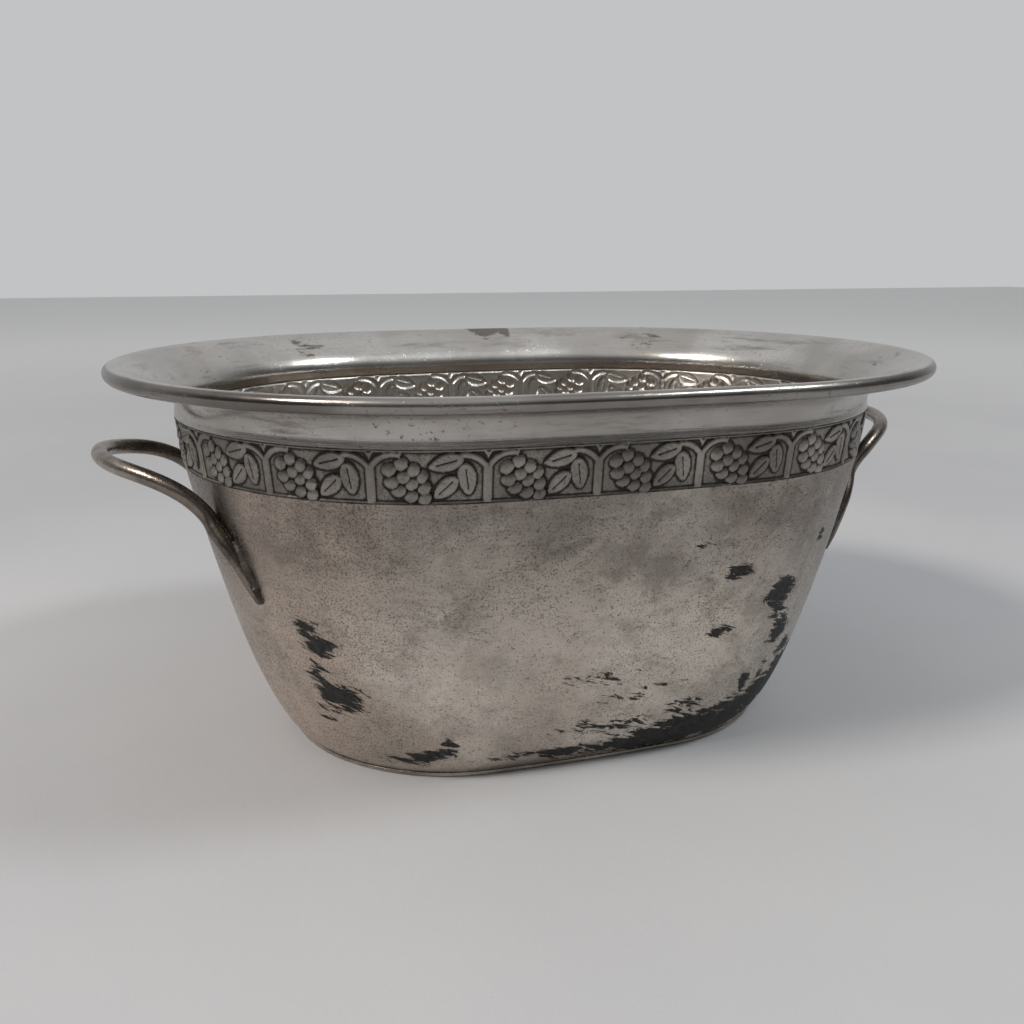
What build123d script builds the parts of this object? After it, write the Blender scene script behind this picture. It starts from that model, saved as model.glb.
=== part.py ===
from build123d import *
import os
from math import atan2, degrees, hypot, sqrt

# An oval silver-plated champagne bucket. Millimetres, +Z up. The origin is on the table,
# under the middle of the oval, and +X runs along the long axis through the handles.

os.makedirs("parts", exist_ok=True)

# Heights above the table
foot_ring_height = 2.6
foot_seam_height = 0.6
band_bottom_height = 174.0
band_height = 27.5
collar_rise = 26.1              # from the top of the band to the centre of the rolled edge

# Plan of the wall where it meets the band
band_half_length = 214.0
band_half_width = 153.0
band_side_radius = 1090.0       # bow of the two long sides

# How far the foot lies inside that plan
foot_end_inset = 56.5
foot_side_inset = 46.5
foot_bow_drop = 50.0            # its long sides bow on a radius this much smaller

# How the wall swells between the two: fraction of the spread = power law of the height
bulge_power = 0.57
bulge_start = 0.02

# Sheet and wire
wall_thickness = 1.2
base_thickness = 1.5
collar_thickness = 1.1
rim_wire_radius = 3.0
rim_wire_clearance = 0.05
foot_ring_width = 3.2
foot_ring_corner = 0.9
foot_seam_recess = 0.8
band_seam_height = 0.8
band_seam_recess = 0.3
base_seam_leg = 2.5
base_seam_top = 0.25            # how thick the seam still is at its upper edge

# Band and collar, as spreads measured outwards from the plan at the band's lower edge
band_flare = 3.4
collar_waist = 1.0              # how far the neck pulls in above the band
collar_waist_share = 0.175      # how far up the collar's rise the neck is narrowest
collar_lean = 0.4               # inward run per unit of rise where the neck leaves the band
lip_curl_start = 2.0            # where the lip levels out, in outer radii of the roll inside its centre
lip_curl_drop = 0.5             # and how far below its top, in the same radii
lip_flare = 35.9                # to the centre of the rolled edge

# Handles: one bent rod each, with tapered legs soldered to the wall
handle_radius = 4.55
handle_leg_tip_radius = 2.5
left_handle_reach = 45.2        # from the band's lower edge to the middle of the bend
right_handle_reach = 40.0
handle_rise = 7.8               # middle of the bend above the band's lower edge
handle_spread = 55.0            # half distance between the legs where they meet the wall
handle_leg_splay = 18.0         # how much further apart the tips are
shoulder_run = 16.0             # straight run above the shoulder, before the bend
bend_drop = 5.0                 # how much lower the rod is where it turns in, at these two shares:
bend_corner_reach = 0.6         # share of the reach
bend_corner_spread = 0.8        # share of the half distance between the legs
bend_tip_spread = 0.36          # the same for the outermost stretch
bend_radii = [20, 40, 25]
handle_shoulder_drop = 24.0     # where the leg meets the wall, below the band's lower edge
handle_leg_drop = 64.7          # the tip, below the band's lower edge
leg_taper_power = 1.6
leg_tip_taper = 0.5             # the blunt tip's length and end radius, as a share of its own radius
leg_clearance = 0.3
solder_spread = 1.6             # how much fatter than the leg the solder bank is
solder_sink = 0.45              # its middle, as a share of the leg's radius off the wall


band_top_height = band_bottom_height + band_height
rim_height = band_top_height + collar_rise
foot_half_length = band_half_length - foot_end_inset
foot_half_width = band_half_width - foot_side_inset
foot_side_radius = band_side_radius - foot_bow_drop


# ---------------------------------------------------------------- plan and wall shape

def end_radius(half_length, half_width, side_radius):
    """Radius of the round ends that run smoothly into side arcs of the given radius."""
    square = half_length**2 + half_width**2 - 2 * side_radius * half_width
    return square / (2 * (half_length - side_radius))


def draw_oval(half_length, half_width, side_radius):
    """Draws the closed plan outline from the +X end: round ends and bowed sides, all tangent."""
    round_end = end_radius(half_length, half_width, side_radius)
    turn = degrees(atan2(side_radius - half_width, half_length - round_end))
    first = JernArc((half_length, 0), (0, 1), round_end, turn)
    far_side = JernArc(first @ 1, first % 1, side_radius, 180 - 2 * turn)
    left_end = JernArc(far_side @ 1, far_side % 1, round_end, 2 * turn)
    near_side = JernArc(left_end @ 1, left_end % 1, side_radius, 180 - 2 * turn)
    JernArc(near_side @ 1, near_side % 1, round_end, turn)


wall_bottom = foot_ring_height + foot_seam_height
wall_top = band_bottom_height - band_seam_height / 2
wall_rise = band_bottom_height - wall_bottom


def swell(height):
    """Share of the spread from the foot to the band that the wall has at this height."""
    share = (height - wall_bottom) / wall_rise
    low = bulge_start**bulge_power
    high = (1 + bulge_start) ** bulge_power
    return ((share + bulge_start) ** bulge_power - low) / (high - low)


def wall_lean(height, spread):
    """Outward run per unit of rise of the wall, for a spread from foot to band."""
    step = 0.01
    return spread * (swell(height + step) - swell(height)) / step


def wall_plan(height, depth=0.0):
    """Half length, half width and side radius of the wall, at a depth inside its outer face."""
    length_spread = band_half_length - foot_half_length
    width_spread = band_half_width - foot_half_width
    length_inset = depth * hypot(1, wall_lean(height, length_spread))
    width_inset = depth * hypot(1, wall_lean(height, width_spread))
    half_length = foot_half_length + length_spread * swell(height) - length_inset
    half_width = foot_half_width + width_spread * swell(height) - width_inset
    side_radius = foot_side_radius + (band_side_radius - foot_side_radius) * swell(height)
    return half_length, half_width, side_radius - width_inset


def wall_end_x(y, height, off=0.0):
    """X of the wall's round end at a given y, with a point held off the wall by off."""
    half_length, half_width, side_radius = wall_plan(height)
    round_end = end_radius(half_length, half_width, side_radius)
    return half_length - round_end + sqrt((round_end + off) ** 2 - y**2)


# Sections lie closer together near the foot, where the wall turns fastest
section_shares = [0.0, 0.03, 0.08, 0.16, 0.28, 0.42, 0.58, 0.72, 0.86, 1.0]
wall_sections = [wall_bottom + share * (wall_top - wall_bottom) for share in section_shares]


def oval_face(height, plan):
    """A flat oval at a height, from its half length, half width and side radius."""
    with BuildSketch(Plane.XY.offset(height)) as face:
        with BuildLine():
            draw_oval(*plan)
        make_face()
    return face.sketch


with BuildPart() as wall_outside:
    loft([oval_face(height, wall_plan(height)) for height in wall_sections])

with BuildPart() as wall_inside:
    loft([oval_face(height, wall_plan(height, wall_thickness)) for height in wall_sections])

with BuildPart() as body_wall:
    add(wall_outside.part)
    add(wall_inside.part, mode=Mode.SUBTRACT)


# ---------------------------------------------------------------- base and foot

with BuildPart() as base_plate:
    extrude(oval_face(wall_bottom, wall_plan(wall_bottom)), amount=base_thickness)
    add(wall_inside.part, mode=Mode.INTERSECT)

base_top = wall_bottom + base_thickness
seam_top = base_top + base_seam_leg

with BuildPart() as base_seam:
    extrude(oval_face(base_top, wall_plan(seam_top)), amount=base_seam_leg)
    add(wall_inside.part, mode=Mode.INTERSECT)
    inner_edge = [size - base_seam_leg for size in wall_plan(base_top, wall_thickness)]
    upper_edge = wall_plan(seam_top, wall_thickness + base_seam_top)
    loft([oval_face(base_top, inner_edge), oval_face(seam_top, upper_edge)], mode=Mode.SUBTRACT)


def foot_path():
    """The foot's outer outline, as the path that the foot's sections follow."""
    with BuildLine() as path:
        draw_oval(foot_half_length, foot_half_width, foot_side_radius)
    return path.wire()


with BuildPart() as foot_ring:
    with BuildSketch(Plane.XZ):
        with Locations((foot_half_length - foot_ring_width / 2, foot_ring_height / 2)):
            RectangleRounded(foot_ring_width, foot_ring_height, foot_ring_corner)
    sweep(path=foot_path())

with BuildPart() as foot_seam:
    with BuildSketch(Plane.XZ):
        with Locations((foot_half_length - foot_seam_recess, foot_ring_height)):
            Rectangle(
                foot_ring_width - 2 * foot_seam_recess,
                foot_seam_height,
                align=(Align.MAX, Align.MIN),
            )
    sweep(path=foot_path())


# ---------------------------------------------------------------- band, seams, collar and rim

def band_path():
    """The plan at the band's lower edge, as the path for everything above the wall."""
    with BuildLine() as path:
        draw_oval(band_half_length, band_half_width, band_side_radius)
    return path.wire()


lower_x = band_half_length
upper_x = band_half_length + band_flare
band_low = band_bottom_height + band_seam_height / 2
band_high = band_top_height - band_seam_height / 2

with BuildPart() as frieze_band:
    with BuildSketch(Plane.XZ):
        with BuildLine():
            Polyline(
                (lower_x, band_low),
                (upper_x, band_high),
                (upper_x - wall_thickness, band_high),
                (lower_x - wall_thickness, band_low),
                close=True,
            )
        make_face()
    sweep(path=band_path())


def solder_section(outer_x, height):
    """Section of a thin recessed ring of solder between two sheets, centred on the joint."""
    with BuildSketch(Plane.XZ) as section:
        with Locations((outer_x - band_seam_recess, height)):
            Rectangle(
                wall_thickness - band_seam_recess,
                band_seam_height,
                align=(Align.MAX, Align.CENTER),
            )
    return section.sketch


with BuildPart() as lower_band_solder:
    sweep(solder_section(lower_x, band_bottom_height), path=band_path())

with BuildPart() as upper_band_solder:
    sweep(solder_section(upper_x, band_top_height), path=band_path())

# The collar is one sheet: neck, flared lip, and the edge rolled down round the rim wire
collar_low = band_top_height + band_seam_height / 2
rim_x = band_half_length + lip_flare
roll_inner = rim_wire_radius + rim_wire_clearance
roll_outer = roll_inner + collar_thickness
waist_height = collar_low + (rim_height - collar_low) * collar_waist_share
curl_x = rim_x - roll_outer * lip_curl_start
curl_drop = roll_outer * lip_curl_drop

with BuildPart() as collar:
    with BuildSketch(Plane.XZ):
        with BuildLine():
            outside = Spline(
                (upper_x, collar_low),
                (upper_x - collar_waist, waist_height),
                (curl_x, rim_height + roll_inner - curl_drop),
                (rim_x, rim_height + roll_inner),
                tangents=[(-collar_lean, 1), (1, 0)],
            )
            inside = Spline(
                (rim_x, rim_height + roll_outer),
                (curl_x, rim_height + roll_outer - curl_drop),
                (upper_x - collar_waist - collar_thickness, waist_height),
                (upper_x - collar_thickness, collar_low),
                tangents=[(-1, 0), (collar_lean, -1)],
            )
            Line(inside @ 1, outside @ 0)
            Line(outside @ 1, inside @ 0)
        make_face()
        with Locations((rim_x, rim_height)):
            Circle(roll_outer)
            Circle(roll_inner, mode=Mode.SUBTRACT)
    sweep(path=band_path())

with BuildPart() as rim_wire:
    with BuildSketch(Plane.XZ):
        with Locations((rim_x, rim_height)):
            Circle(rim_wire_radius)
    sweep(path=band_path())


# ---------------------------------------------------------------- handles

def leg_point(share, off):
    """A point on the near leg's path, from where it meets the wall (0) to its tip (1)."""
    y = handle_spread + handle_leg_splay * (1 - (1 - share) ** 2)
    height = band_bottom_height - handle_shoulder_drop
    height -= (handle_leg_drop - handle_shoulder_drop) * share
    return Vector(wall_end_x(y, height, off), -y, height)


leg_shares = [0.0, 0.25, 0.5, 0.75, 1.0]


def leg_radius(share):
    """The leg thins quickly below the bend and slowly towards its blunt tip."""
    thinning = (1 - share) ** leg_taper_power
    return handle_leg_tip_radius + (handle_radius - handle_leg_tip_radius) * thinning


def leg_planes(radius_at, off_at):
    """Section planes square to the leg's path, each with its own radius."""
    points = [leg_point(share, off_at(share)) for share in leg_shares]
    planes = []
    for index, share in enumerate(leg_shares):
        before = points[max(index - 1, 0)]
        after = points[min(index + 1, len(points) - 1)]
        planes.append((Plane(origin=points[index], z_dir=after - before), radius_at(share)))
    return planes


def round_face(plane, radius):
    """A flat disc on a plane."""
    with BuildSketch(plane) as face:
        Circle(radius)
    return face.sketch


def build_leg(radius_at, off_at):
    """The near leg of the +X handle, lofted through round sections, with a blunt tip."""
    planes = leg_planes(radius_at, off_at)
    tip_plane, tip_radius = planes[-1]
    tip_taper = tip_radius * leg_tip_taper
    with BuildPart() as leg:
        loft([round_face(plane, radius) for plane, radius in planes])
        loft([round_face(tip_plane, tip_radius), round_face(tip_plane.offset(tip_taper), tip_taper)])
    return leg.part


def leg_off(share):
    """How far the leg's middle stands off the wall."""
    return leg_radius(share) + leg_clearance


def build_rod(reach):
    """The bent rod of the +X handle, from one leg's shoulder round the bend to the other."""
    shoulder_plane = leg_planes(leg_radius, leg_off)[0][0]
    shoulder = shoulder_plane.origin
    top = band_bottom_height + handle_rise
    half = [
        shoulder,
        shoulder - shoulder_plane.z_dir * shoulder_run,
        Vector(
            band_half_length + reach * bend_corner_reach,
            -handle_spread * bend_corner_spread,
            top - bend_drop,
        ),
        Vector(band_half_length + reach, -handle_spread * bend_tip_spread, top),
    ]
    other = [Vector(point.X, -point.Y, point.Z) for point in reversed(half)]
    with BuildLine() as path:
        FilletPolyline(*half, *other, radius=bend_radii + bend_radii[::-1])
    start_plane = Plane(origin=shoulder, z_dir=path.wire() % 0)
    with BuildPart() as rod:
        sweep(round_face(start_plane, handle_radius), path=path.wire())
    return rod.part


def build_handle(reach):
    """A whole +X handle: the rod, both legs and their tips."""
    near_leg = build_leg(leg_radius, leg_off)
    with BuildPart() as handle:
        add(build_rod(reach))
        add(near_leg)
        add(mirror(near_leg, about=Plane.XZ, mode=Mode.PRIVATE))
    return handle.part


def build_solder(leg):
    """The solder that banks up between the near leg of the +X handle and the wall."""
    swollen = build_leg(
        lambda share: leg_radius(share) + solder_spread,
        lambda share: leg_radius(share) * solder_sink,
    )
    with BuildPart() as solder:
        add(swollen)
        add(leg, mode=Mode.SUBTRACT)
        add(wall_outside.part, mode=Mode.SUBTRACT)
    return solder.part


def placed(piece, to_back, to_left):
    """A copy of a piece of the +X handle's near side, mirrored to the back and to the -X end."""
    with BuildPart() as copy:
        shape = mirror(piece, about=Plane.XZ, mode=Mode.PRIVATE) if to_back else piece
        shape = mirror(shape, about=Plane.YZ, mode=Mode.PRIVATE) if to_left else shape
        add(shape)
    return copy


# ---------------------------------------------------------------- files

pieces = {
    "body_wall": body_wall,
    "base_plate": base_plate,
    "base_seam": base_seam,
    "foot_ring": foot_ring,
    "foot_seam": foot_seam,
    "frieze_band": frieze_band,
    "lower_band_solder": lower_band_solder,
    "upper_band_solder": upper_band_solder,
    "collar": collar,
    "rim_wire": rim_wire,
}
for end_name, reach in (("right", right_handle_reach), ("left", left_handle_reach)):
    to_left = end_name == "left"
    handle = build_handle(reach)
    solder = build_solder(handle)
    pieces[f"handle_{end_name}"] = placed(handle, False, to_left)
    pieces[f"handle_{end_name}_solder_front"] = placed(solder, False, to_left)
    pieces[f"handle_{end_name}_solder_back"] = placed(solder, True, to_left)

for piece_name, piece in pieces.items():
    piece.part.label = piece_name
    export_step(piece.part, f"parts/{piece_name}.step")
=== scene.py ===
import math
import random

import bpy
import numpy as np
from mathutils import Matrix, Vector


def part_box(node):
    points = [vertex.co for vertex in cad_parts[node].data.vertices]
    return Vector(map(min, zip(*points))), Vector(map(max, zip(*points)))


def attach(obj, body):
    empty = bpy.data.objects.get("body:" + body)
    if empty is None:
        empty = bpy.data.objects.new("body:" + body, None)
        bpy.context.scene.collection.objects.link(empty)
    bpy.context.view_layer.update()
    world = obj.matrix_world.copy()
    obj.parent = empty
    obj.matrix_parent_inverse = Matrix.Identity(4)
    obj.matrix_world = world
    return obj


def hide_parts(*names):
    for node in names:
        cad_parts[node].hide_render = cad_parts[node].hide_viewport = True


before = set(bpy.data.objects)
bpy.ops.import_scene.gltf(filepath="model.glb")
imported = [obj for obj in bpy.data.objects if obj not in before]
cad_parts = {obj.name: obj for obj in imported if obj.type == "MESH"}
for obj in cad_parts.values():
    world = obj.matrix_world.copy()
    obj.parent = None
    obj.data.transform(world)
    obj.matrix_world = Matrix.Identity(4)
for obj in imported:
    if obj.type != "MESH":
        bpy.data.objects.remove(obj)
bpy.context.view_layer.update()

MM = 0.001
AROUND = 480                    # steps round the bucket of every ring but the band
MERGE_GAP = 0.002 * MM
SHARP_EDGE = math.radians(50)   # a steeper edge is shaded sharp
SHARP_RELIEF = math.radians(70) # and on the stamped band

# ---------------- sizes, from the frame

band_low, band_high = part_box("frieze_band")
wall_low, wall_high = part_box("body_wall")
lip_low, lip_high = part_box("collar")
foot_low, foot_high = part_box("foot_ring")

WALL_SHEET = 1.2 * MM
COLLAR_SHEET = 1.1 * MM
BAND_SHEET = 0.9 * MM
BAND_FLARE = 3.4 * MM           # the band leans out by this much from bottom to top
ROLL_RADIUS = 4.15 * MM         # of the edge that is rolled round the rim wire
BAND_SIDE_RADIUS = 1090 * MM    # bow of the long sides where the wall meets the band
FOOT_SIDE_RADIUS = 1040 * MM    # and at the foot
BULGE_POWER = 0.57              # how the wall swells from the foot to the band
BULGE_START = 0.02

WALL_FOOT = wall_low.z
WALL_TOP = wall_high.z
BAND_BOTTOM = band_low.z
BAND_TOP = band_high.z
BAND_HALF_LENGTH = band_high.x - BAND_FLARE
BAND_HALF_WIDTH = band_high.y - BAND_FLARE
FOOT_HALF_LENGTH = foot_high.x
FOOT_HALF_WIDTH = foot_high.y
LIP_LOW = lip_low.z
RIM_REACH = lip_high.x - ROLL_RADIUS - BAND_HALF_LENGTH
RIM_HEIGHT = lip_high.z - ROLL_RADIUS


# ---------------- plan of the bucket

class Oval:
    """A closed plan of two round ends and two bowed sides, walked by distance from its +X end."""

    def __init__(self, half_length, half_width, side_radius):
        square = half_length**2 + half_width**2 - 2 * side_radius * half_width
        self.end = square / (2 * (half_length - side_radius))
        self.side = side_radius
        self.end_x = half_length - self.end
        self.side_y = side_radius - half_width
        self.turn = math.atan2(self.side_y, self.end_x)
        self.end_run = self.end * self.turn
        self.side_run = self.side * (math.pi - 2 * self.turn)
        self.length = 4 * self.end_run + 2 * self.side_run

    def at(self, share, off=0.0):
        """Point and outward direction at a share of the way round, held off the outline by off."""
        run = (share % 1.0) * self.length
        if run < self.end_run or run >= self.length - self.end_run:
            angle = (run if run < self.end_run else run - self.length) / self.end
            centre = (self.end_x, 0.0, self.end)
        elif run < self.end_run + self.side_run:
            angle = self.turn + (run - self.end_run) / self.side
            centre = (0.0, -self.side_y, self.side)
        elif run < 3 * self.end_run + self.side_run:
            angle = math.pi - self.turn + (run - self.end_run - self.side_run) / self.end
            centre = (-self.end_x, 0.0, self.end)
        else:
            angle = math.pi + self.turn + (run - 3 * self.end_run - self.side_run) / self.side
            centre = (0.0, self.side_y, self.side)
        out = Vector((math.cos(angle), math.sin(angle), 0.0))
        return Vector((centre[0], centre[1], 0.0)) + out * (centre[2] + off), out


def swell(height):
    """Share of the spread from foot to band that the wall has at this height."""
    share = (height - WALL_FOOT) / (BAND_BOTTOM - WALL_FOOT)
    low = BULGE_START**BULGE_POWER
    high = (1 + BULGE_START) ** BULGE_POWER
    return ((max(share, 0.0) + BULGE_START) ** BULGE_POWER - low) / (high - low)


def wall_oval(height, depth=0.0):
    """Plan of the wall at a height, at a depth inside its outer face."""
    share = swell(height)
    step = 0.1 * MM
    lean = (swell(height + step) - share) / step * (BAND_HALF_LENGTH - FOOT_HALF_LENGTH)
    inset = depth * math.hypot(1, lean)
    return Oval(
        FOOT_HALF_LENGTH + (BAND_HALF_LENGTH - FOOT_HALF_LENGTH) * share - inset,
        FOOT_HALF_WIDTH + (BAND_HALF_WIDTH - FOOT_HALF_WIDTH) * share - inset,
        FOOT_SIDE_RADIUS + (BAND_SIDE_RADIUS - FOOT_SIDE_RADIUS) * share - inset,
    )


band_oval = Oval(BAND_HALF_LENGTH, BAND_HALF_WIDTH, BAND_SIDE_RADIUS)
foot_oval = Oval(FOOT_HALF_LENGTH, FOOT_HALF_WIDTH, FOOT_SIDE_RADIUS)


def wall_end_x(y, height, off=0.0):
    """X of the wall's round end at a given y, for a point held off the wall by off."""
    oval = wall_oval(height)
    return oval.end_x + math.sqrt(max((oval.end + off) ** 2 - y * y, 0.0))


# ---------------- modelling helpers

def deselect():
    if bpy.context.object and bpy.context.object.mode != "OBJECT":
        bpy.ops.object.mode_set(mode="OBJECT")
    bpy.ops.object.select_all(action="DESELECT")


def pick(piece):
    """Makes a piece the only one that is selected, and the active one."""
    deselect()
    piece.select_set(True)
    bpy.context.view_layer.objects.active = piece


def edit(piece):
    """Opens a piece alone in edit mode with everything on it selected."""
    pick(piece)
    bpy.ops.object.mode_set(mode="EDIT")
    bpy.ops.mesh.select_all(action="SELECT")


def close_seams(piece, gap=MERGE_GAP):
    """Merges doubled points, turns every face outwards and shades the piece smooth."""
    edit(piece)
    bpy.ops.mesh.remove_doubles(threshold=gap)
    bpy.ops.mesh.normals_make_consistent(inside=False)
    bpy.ops.object.mode_set(mode="OBJECT")
    bpy.ops.object.shade_smooth_by_angle(angle=SHARP_EDGE)


def mark_points(piece, name, values):
    """Keeps a value at each point of a piece, for its material to read."""
    attribute = piece.data.attributes.new(name, "FLOAT", "POINT")
    attribute.data.foreach_set("value", values.astype(np.float32))


def rolled_sheet(name, around, across, place):
    """A grid that is rolled up: place(share around, row) gives each point. Its seams are then merged."""
    deselect()
    bpy.ops.mesh.primitive_grid_add(x_subdivisions=around, y_subdivisions=across, size=1)
    piece = bpy.context.object
    piece.name = name
    rows = np.empty((len(piece.data.vertices), 3))
    for index, vertex in enumerate(piece.data.vertices):
        share = vertex.co.x + 0.5
        row = round((vertex.co.y + 0.5) * across)
        rows[index] = place(0.0 if share > 1 - 1e-5 else share, row)
    piece.data.vertices.foreach_set("co", rows.ravel())
    piece.data.update()
    close_seams(piece)
    return piece


def swept_round(name, around, section, oval):
    """A closed section of (distance out, height) points, swept round an oval."""
    points = section + section[:1]

    def place(share, row):
        out, height = points[row]
        point, _ = oval.at(share, out)
        return point.x, point.y, height

    return rolled_sheet(name, around, len(points) - 1, place)


def dress(piece, material, slot, *nodes):
    """Gives a piece its material and the body it rides on, and hides the CAD nodes that it stands for."""
    piece.data.materials.clear()
    piece.data.materials.append(material)
    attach(piece, "root")
    if nodes:
        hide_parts(*nodes)


def bezier(points, count):
    """Points along a cubic curve through four control points."""
    a, b, c, d = [np.array(point, float) for point in points]
    steps = np.linspace(0, 1, count)[:, None]
    back = 1 - steps
    return back**3 * a + 3 * back**2 * steps * b + 3 * back * steps**2 * c + steps**3 * d


def smooth_line(points, start, end, count):
    """A smooth run through points in a plane, leaving and arriving along the given directions."""
    points = np.array(points, float)
    chords = np.linalg.norm(np.diff(points, axis=0), axis=1)
    tangents = np.zeros_like(points)
    tangents[0] = np.array(start) / np.linalg.norm(start)
    tangents[-1] = np.array(end) / np.linalg.norm(end)
    for i in range(1, len(points) - 1):
        before = (points[i] - points[i - 1]) / chords[i - 1]
        after = (points[i + 1] - points[i]) / chords[i]
        tangents[i] = (before * chords[i] + after * chords[i - 1]) / (chords[i - 1] + chords[i])
    line = []
    for i, chord in enumerate(chords):
        pull = tangents[i] * chord / 3, tangents[i + 1] * chord / 3
        steps = max(int(round(count * chord / chords.sum())), 2)
        run = bezier((points[i], points[i] + pull[0], points[i + 1] - pull[1], points[i + 1]), steps + 1)
        line.extend(run[:-1])
    line.append(points[-1])
    return [tuple(point) for point in line]


# ---------------- body shell

WALL_UP = 40
ROW_CROWDING = 1.35             # rows lie closer towards the foot, where the wall curves most
WALL_WAVE = 0.12 * MM           # of the unevenness left by the hammer


def build_body():
    """The raised wall of the bucket: an open tub of thin sheet with its lip tucked behind the band."""
    heights = [WALL_FOOT + (WALL_TOP - WALL_FOOT) * (i / WALL_UP) ** ROW_CROWDING for i in range(WALL_UP + 1)]
    rows = [(height, 0.0) for height in heights]
    rows += [(height, WALL_SHEET) for height in reversed(heights)]
    ovals = [wall_oval(height, depth) for height, depth in rows]

    def place(share, row):
        row %= len(rows)
        height = rows[row][0]
        point, out = ovals[row].at(share)
        # a hand-raised wall is never quite fair: shallow, broad waves that fade at foot and band
        fade = math.sin(math.pi * (height - WALL_FOOT) / (WALL_TOP - WALL_FOOT))
        turn = share * 2 * math.pi
        wave = math.sin(5 * turn + 25 * height) + 0.7 * math.sin(11 * turn - 60 * height + 1.3)
        point = point + out * (WALL_WAVE * fade * (wave - 1.7))
        return point.x, point.y, height

    return rolled_sheet("body_shell", AROUND, len(rows), place)


# ---------------- band of stamped vine

MOTIFS = 21
MOTIF_LONG = 57.67              # along the middle of the band, in mm
MOTIF_HIGH = (BAND_TOP - BAND_BOTTOM) / MM
MOTIF_COLUMNS = 112
MOTIF_ROWS = 52
RELIEF = 1.3
GRAPE = 3.95
GRAPE_TILT = -13                # each grape lies a little over the ones above and to its left
GRAPES = [(9.2, 17.6), (15.1, 20.6), (20.7, 17.5), (15.9, 14.0), (24.7, 14.2), (10.3, 11.3),
          (19.9, 10.7), (13.7, 6.9), (26.0, 8.5), (19.7, 4.3), (26.2, 3.2)]
# stem end, tip, width, fullness towards the stem
LEAVES = [
    ((46.0, 23.0), (28.4, 18.2), 9.6),
    ((42.8, 13.6), (31.0, 2.4), 9.2),
    ((46.0, 21.0), (48.6, 3.6), 9.8),
]
POST_WIDTH = 4.6
ARCH_WIDTH = 3.5
EDGE_BEAD_WIDTH = 1.1
EDGE_BEAD_INSET = 0.15
VEIN_WIDTH = 0.36
VEIN_DEPTH = 0.42
RIB_PITCH = 3.1                 # of the small veins along a leaf
RIB_DEPTH = 0.20
DIE_HALO = 200                  # side of the flat that lies round the die's shapes
ARCHES = [
    [(0.0, 17.5), (1.6, 20.4), (4.6, 23.2), (8.6, 24.9), (12.6, 25.2), (15.5, 24.4)],
    [(MOTIF_LONG, 17.5), (55.9, 20.2), (52.6, 22.8), (48.6, 24.5), (44.6, 24.4), (42.0, 23.2)],
]


def strand(name, points, width, height):
    """A raised half-round strand along a line, as on the stamping die."""
    curve = bpy.data.curves.new(name, "CURVE")
    curve.dimensions = "3D"
    curve.bevel_depth = width / 2
    curve.bevel_resolution = 6
    curve.use_fill_caps = True
    spline = curve.splines.new("NURBS")
    spline.points.add(len(points) - 1)
    for point, (x, y) in zip(spline.points, points):
        point.co = (x, y, 0.0, 1.0)
    spline.use_endpoint_u = True
    spline.order_u = 4
    piece = bpy.data.objects.new(name, curve)
    bpy.context.collection.objects.link(piece)
    pick(piece)
    bpy.ops.object.convert(target="MESH")
    piece = bpy.context.object
    piece.data.transform(Matrix.Diagonal((1, 1, height / (width / 2), 1)))
    return piece


def grape(x, y, lift):
    deselect()
    bpy.ops.mesh.primitive_uv_sphere_add(segments=40, ring_count=24, radius=1, location=(0, 0, 0))
    piece = bpy.context.object
    tilt = Matrix.Rotation(math.radians(GRAPE_TILT), 4, Vector((0.8, 0.6, 0)))
    squash = Matrix.Diagonal((GRAPE, GRAPE, RELIEF * 0.92, 1))
    piece.data.transform(Matrix.Translation((x, y, lift)) @ tilt @ squash)
    return piece


def leaf(stem, tip, width):
    """A pointed leaf, domed, with a cut vein down its middle and small veins off it."""
    deselect()
    bpy.ops.mesh.primitive_grid_add(x_subdivisions=96, y_subdivisions=56, size=2)
    piece = bpy.context.object
    stem, tip = np.array(stem), np.array(tip)
    along = tip - stem
    length = np.linalg.norm(along)
    along = along / length
    across = np.array([-along[1], along[0]])
    for vertex in piece.data.vertices:
        s, t = vertex.co.x, vertex.co.y
        share = (s + 1) / 2
        half = width / 2 * (math.sin(math.pi * share ** 0.86) ** 0.66)
        side = t * half
        point = stem + along * length * share + across * side
        dome = RELIEF * 0.85 * (1 - t**4) ** 0.5 * min(1, 7 * (1 - abs(s)) + 0.05)
        vein = math.exp(-((side / VEIN_WIDTH) ** 2)) * (0.2 < share < 0.80)
        off_rib = (share * length - abs(side) * 0.9) % RIB_PITCH - 1.5
        ribs = math.exp(-((off_rib / VEIN_WIDTH) ** 2)) * (0.15 < abs(t) < 0.7)
        vertex.co = (point[0], point[1], dome - VEIN_DEPTH * vein - RIB_DEPTH * ribs * (share > 0.2))
    return piece


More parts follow.
